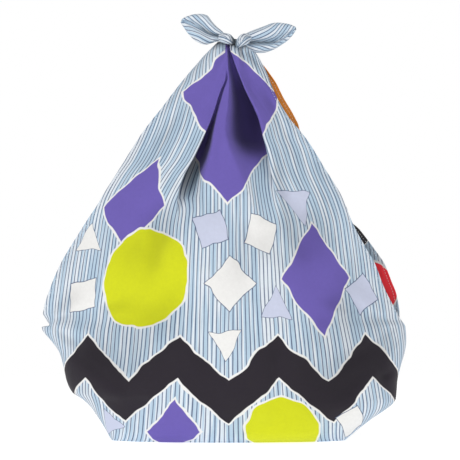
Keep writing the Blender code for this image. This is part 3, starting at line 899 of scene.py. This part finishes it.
def hem_line(grid, last):
    """The line along one hem, STITCH_INSET inside the edge: for each row the place between the two
    columns where the distance from the hem passes it. Returns places and outward directions."""
    points, hem = grid.points, grid.hem
    if last:
        points, hem = points[:, ::-1], hem[:, ::-1]
    height = points[:, 0, 2]
    rows = np.flatnonzero((height > (CORNER_HEIGHT + STITCHES_ABOVE_CORNER) * MM)
                          & (height < (NECK_HEIGHT - STITCHES_BELOW_NECK) * MM))
    points, hem = points[rows], hem[rows]
    row = np.arange(len(rows))
    column = (hem[:, :COLUMNS[0] - 1] < STITCH_INSET * MM).sum(axis=1)
    low, high = hem[row, column - 1], hem[row, column]
    t = ((STITCH_INSET * MM - low) / (high - low))[:, None]
    line = points[row, column - 1] * (1 - t) + points[row, column] * t
    inward = points[row, column + 1] - points[row, column - 1]
    out = np.cross(inward, np.gradient(line, axis=0))
    out *= np.sign(out[:, 1:2]) * (1 if grid.turned else -1)
    return line, unit(out)


def stitches(line, out, lift):
    """Rings of small rounded bars along a line: each bar is an ellipsoid between two places on the
    line, raised by lift along the outward direction."""
    run = np.concatenate([[0], np.cumsum(np.linalg.norm(np.diff(line, axis=0), axis=1))])
    starts = np.arange(STITCH_PITCH * MM, run[-1] - STITCH_PITCH * MM, STITCH_PITCH * MM)
    share = np.linspace(0, 1, STITCH_ALONG)
    where = starts[:, None] + share * STITCH_LENGTH * MM
    centre = np.stack([np.interp(where, run, line[:, k]) for k in range(3)], axis=-1)
    outward = unit(np.stack([np.interp(where, run, out[:, k]) for k in range(3)], axis=-1))
    along = unit(centre[:, -1:] - centre[:, :1])
    beside = np.cross(along, outward)
    centre = centre + outward * lift * MM
    thick = STITCH_THICK * MM * np.maximum(np.sin(np.pi * share), STITCH_TIP)[None, :, None, None]
    angle = np.linspace(0, 2 * np.pi, STITCH_AROUND, endpoint=False)[None, None, :, None]
    ring = outward[:, :, None] * np.cos(angle) + beside[:, :, None] * np.sin(angle)
    return centre[:, :, None] + thick * ring


def stitch_mesh(rings):
    """One mesh of all the stitches: quads between the rings, and a cap at both ends."""
    index = np.arange(rings[..., 0].size).reshape(rings.shape[:3])
    caps = np.concatenate([index[:, 0], index[:, -1, ::-1]])
    mesh = bpy.data.meshes.new("hem_stitches")
    mesh.from_pydata(rings.reshape(-1, 3).tolist(), [], ring_quads(index).tolist() + caps.tolist())
    work = bmesh.new()
    work.from_mesh(mesh)
    bmesh.ops.recalc_face_normals(work, faces=work.faces)
    work.to_mesh(mesh)
    work.free()
    mesh.shade_smooth()
    return mesh


thread, _, thread_shader = new_material("hem_thread")
thread_shader.inputs["Base Color"].default_value = THREAD_WHITE
thread_shader.inputs["Roughness"].default_value = 0.7
stitch_rings = []
for grid in panels:
    for last in (False, True):
        line, out = hem_line(grid, last)
        stitch_rings.append(stitches(line, out, STITCH_LIFT))
        stitch_rings.append(stitches(line, out, -CLOTH_THICKNESS - STITCH_LIFT))
hem_stitches = cloth_piece("hem_stitches", stitch_mesh(np.concatenate(stitch_rings)), [thread])


# The knot: the two free ends of the cloth cross and turn round each other once, front and back.
# Each turn is a flat band of gathered cloth that is fatter where it bends over the top.
Turn = namedtuple("Turn", "x y z wide thick")
KNOT_TURNS = {
    "front_left": (Turn(-12, 1, 494, 4.6, 4.0), Turn(-8, -9, 492.5, 6.4, 4.8),
                   Turn(-1.5, -15, 490.5, 6.6, 5.0), Turn(4.5, -14, 487, 5.0, 4.2),
                   Turn(8, -5, 483, 3.4, 3.2)),
    "front_right": (Turn(9, -4, 480, 3.0, 3.0), Turn(11.5, -15, 482.5, 4.2, 3.6),
                    Turn(16, -18, 487, 6.4, 4.8), Turn(20.5, -15, 490.5, 7.0, 5.0),
                    Turn(26, -7, 493, 5.6, 4.4), Turn(29, 2, 493, 4.0, 3.6)),
    "back_left": (Turn(-8, -3, 485, 4.0, 4.0), Turn(-4, 9, 484, 6.2, 4.6), Turn(5, 15, 486, 7.0, 4.6),
                  Turn(12, 10, 487, 5.6, 4.4), Turn(14, 3, 486, 3.6, 3.6)),
    "back_right": (Turn(5, 4, 486, 3.6, 3.6), Turn(10, 12, 487, 5.6, 4.6), Turn(18, 15, 485, 7.0, 4.6),
                   Turn(25, 8, 483, 5.8, 4.2), Turn(27, 0, 484, 4.0, 4.0)),
}
KNOT_MIDDLE = (9, 0, 485)
TURN_AROUND = 64
TURN_ALONG = 48
TURN_END = 0.35
TURN_CREASES = 9
TURN_CREASE_DEPTH = 0.12
TURN_CREASE_DRIFT = 0.05
# How dark the painted shade makes the knot: in its creases, near its ends and across the pinch.
CREASE_SHADE = 0.4
TUCK_REACH = 12
TUCK_SHADE = 0.8
PINCH_X = 6.8
PINCH_REACH = 3.6
PINCH_SHADE = 1.22
TURN_PRINT = 0.75
TIED_PRINT = 900
KNOT_MERGE = 0.01


def curve_through(points, count):
    """A smooth curve through points: Catmull-Rom pieces, with the ends run on straight."""
    points = np.asarray(points, float)
    padded = np.vstack([2 * points[0] - points[1], points, 2 * points[-1] - points[-2]])
    place = np.linspace(0, len(points) - 1, count)
    k = np.minimum(place.astype(int), len(points) - 2)
    t = (place - k)[:, None]
    a, b, c, d = padded[k], padded[k + 1], padded[k + 2], padded[k + 3]
    return 0.5 * (2 * b + (c - a) * t + (2 * a - 5 * b + 4 * c - d) * t ** 2
                  + (3 * b - a - 3 * c + d) * t ** 3)


def knot_band(turns):
    """A flat tube along its turns: an ellipse in the plane across the path, with lengthwise
    creases as cosines of the angle. The ends draw in to a point inside the knot. Painted shade, the
    fold value, grows in the creases, at both ends, and as a bell across PINCH_X, where the turns meet."""
    table = curve_through(turns, TURN_ALONG)
    path, wide, thick = table[:, :3], table[:, 3:4], table[:, 4:5]
    along = unit(np.gradient(path, axis=0))
    out = path - np.array(KNOT_MIDDLE)
    out = unit(out - along * (out * along).sum(axis=1, keepdims=True))
    beside = np.cross(along, out)
    angle = np.linspace(0, 2 * np.pi, TURN_AROUND + 1)[None, :]
    ends = np.sin(np.linspace(0, np.pi, TURN_ALONG))[:, None] ** TURN_END
    groove = np.maximum(np.cos(TURN_CREASES * angle + path[:, :1] * TURN_CREASE_DRIFT), 0) ** 3
    full = ends * (1 - TURN_CREASE_DEPTH * groove)
    points = (path[:, None] + out[:, None] * (thick * full * np.cos(angle))[..., None]
              + beside[:, None] * (wide * full * np.sin(angle))[..., None])
    u = angle * (wide + thick) * TURN_PRINT
    run = running_length(path, 0)[:, None]
    v = run * np.ones_like(angle) + TIED_PRINT
    # Painted shade: in the lengthwise creases, near both ends, where the band goes into the knot, and
    # across the pinch where the turns meet.
    tucked = 1 - smooth_step(np.minimum(run, run[-1] - run) / TUCK_REACH)
    painted_pinch_shade = PINCH_SHADE * np.exp(-((points[..., 0] - PINCH_X) / PINCH_REACH) ** 2)
    fold = np.minimum(groove * CREASE_SHADE + tucked * TUCK_SHADE + painted_pinch_shade, PINCH_SHADE)
    return Grid(points * MM, np.stack([u, v], axis=-1) * MM, np.full(u.shape, CLOSED * MM), fold, False)


bands = [knot_band(turns) for turns in KNOT_TURNS.values()]
knot = cloth_piece("wrap_knot", cloth_mesh("wrap_knot", bands, KNOT_MERGE), [tied])


# The two ears: the cloth's free corners, that stand out of the knot as leaves. Each is folded
# lengthwise in front, with both edges turned behind, and is gathered where the knot holds it.
# A rib tells how far along the ear it is, the leaf's reach above and below the middle line, where
# the valley runs, how far the two crests stand out in front, and how far the edges go behind.
Rib = namedtuple("Rib", "along above below valley crest flap")
LEFT_EAR = rows_of(
    Rib, (0, 4.0, 4.6, 0.0, 2.0, 2.0), (5, 5.0, 5.6, 0.0, 2.5, 2.5), (10, 6.8, 8.0, -0.5, 3.5, 3.0),
    (15, 8.6, 12.0, -1.5, 4.5, 3.5), (20, 10.8, 15.6, -1.5, 5.5, 3.5), (26, 14.2, 16.8, -1.0, 6.0, 3.5),
    (31, 17.2, 16.4, 0.0, 6.0, 3.5), (36, 17.2, 15.4, 0.8, 5.5, 3.5), (42, 15.2, 12.6, 1.6, 5.0, 3.0),
    (47, 12.8, 9.8, 1.8, 4.0, 2.5), (52, 9.2, 6.4, 1.4, 3.0, 2.0), (56, 5.6, 3.6, 0.8, 2.0, 1.6),
    (58.5, 2.0, 1.4, 0.2, 1.0, 1.0),
)
RIGHT_EAR = rows_of(
    Rib, (0, 3.6, 4.0, 0.0, 2.0, 2.0), (5, 5.4, 7.6, -0.3, 3.0, 2.5), (11, 7.6, 11.6, -1.4, 4.5, 3.0),
    (17, 9.2, 15.0, -3.0, 6.0, 3.5), (24, 10.2, 17.8, -5.0, 7.5, 3.5), (32, 11.0, 19.2, -7.5, 8.0, 3.5),
    (40, 11.8, 18.6, -9.4, 8.0, 3.5), (48, 12.6, 16.8, -10.2, 7.0, 3.5), (54, 11.8, 14.6, -9.2, 5.5, 3.0),
    (61, 9.6, 12.0, -6.8, 4.0, 2.5), (68, 6.4, 7.6, -4.0, 2.5, 2.0), (72, 3.8, 4.2, -2.0, 1.8, 1.5),
    (75, 1.2, 1.4, -0.4, 1.0, 1.0),
)
Ear = namedtuple("Ear", "name ribs root tip splay_above splay_below turned")
EARS = (
    Ear("left_ear", LEFT_EAR, (-3, -5, 492), (-57.6, -6, 513), 0.30, 0.05, True),
    Ear("right_ear", RIGHT_EAR, (10, -6, 485.5), (82, -7, 504), 0.42, 0.48, False),
)
EarPoint = namedtuple("EarPoint", "up out")
EAR_SECTION = rows_of(
    EarPoint, (-0.10, -1.0), (-0.55, -1.1), (-0.92, -0.60), (-1.0, 0.10), (-0.78, 0.72), (-0.38, 0.62),
    (0.0, -0.80), (0.34, 0.55), (0.76, 0.85), (1.0, 0.10), (0.93, -0.6), (0.55, -1.2), (0.05, -1.3),
)
EAR_ALONG = 72
EAR_AROUND = 96
EAR_THICKNESS = 0.8
EAR_GATHERS = 12
EAR_GATHER_DEPTH = 1.3
EAR_GATHER_SHARE = 0.18
EAR_WAVE = 0.7
EAR_WAVES = (9, 7)
EAR_FRONT = 0.2
EAR_PRINT = 1.22
# The painted shade along each ear's valley: how dark, how wide, and where along the ear it grows and fades.
VALLEY_SHADE = 0.9
VALLEY_WIDTH = 2.6
VALLEY_FROM = 0.12
VALLEY_TO = 0.45
VALLEY_FADE = 0.35


def ear_leaf(ear):
    """A leaf of cloth: at each rib the EAR_SECTION is scaled by the reach above and below the
    valley, and by crest in front or flap behind, with cosine gathers near the knot. The print runs
    out from the valley at a slant on both sides, as on a folded corner. The fold value is painted
    shade: a bell across the valley, faded at both ends."""
    table = curve_through(ear.ribs, EAR_ALONG)
    run, above, below, valley, crest, flap = [column[:, None] for column in table.T]
    root, tip = np.array(ear.root, float), np.array(ear.tip, float)
    along = unit(tip - root)
    up = unit(np.array([-along[2], 0, along[0]]) * np.sign(along[0]))
    section = curve_through(EAR_SECTION, EAR_AROUND)
    reach = valley + np.where(section[:, 0] > 0, above - valley, below + valley) * section[:, 0]
    out = np.where(section[:, 1] > 0, crest, flap) * section[:, 1]
    round_share = np.linspace(0, 1, EAR_AROUND)[None, :]
    share = run / run.max()
    gathered = np.exp(-share / EAR_GATHER_SHARE)
    out = out + EAR_GATHER_DEPTH * gathered * np.cos(2 * np.pi * EAR_GATHERS * round_share)
    out = out + EAR_WAVE * (1 - gathered) * np.cos(EAR_WAVES[0] * share + EAR_WAVES[1] * round_share)
    points = (root + along * run[..., None] + up * reach[..., None]
              + np.array([0, -1, 0]) * out[..., None])
    length = running_length(points, 1)
    in_front = np.abs(round_share[0] - 0.5) <= EAR_FRONT
    centre = int(np.argmin(np.where(in_front, np.abs(section[:, 0]), np.inf)))
    length = length - length[:, centre:centre + 1]
    splay = np.where(length > 0, ear.splay_above, ear.splay_below)
    u = (np.abs(length) - splay * run) * EAR_PRINT
    v = run * np.ones_like(u) + TIED_PRINT
    from_hem = np.minimum(running_length(points, 1), running_length(points[:, ::-1], 1)[:, ::-1])
    # Painted shade along the valley.
    valley_ends = smooth_step(share / VALLEY_FROM) * (1 - smooth_step((share - VALLEY_TO) / VALLEY_FADE))
    fold = VALLEY_SHADE * np.exp(-(length / VALLEY_WIDTH) ** 2) * valley_ends
    return Grid(points * MM, np.stack([u, v], axis=-1) * MM, from_hem * MM, fold, ear.turned)


ears = [cloth_piece(ear.name, cloth_mesh(ear.name, [ear_leaf(ear)]), [tied], EAR_THICKNESS, 0.0)
        for ear in EARS]
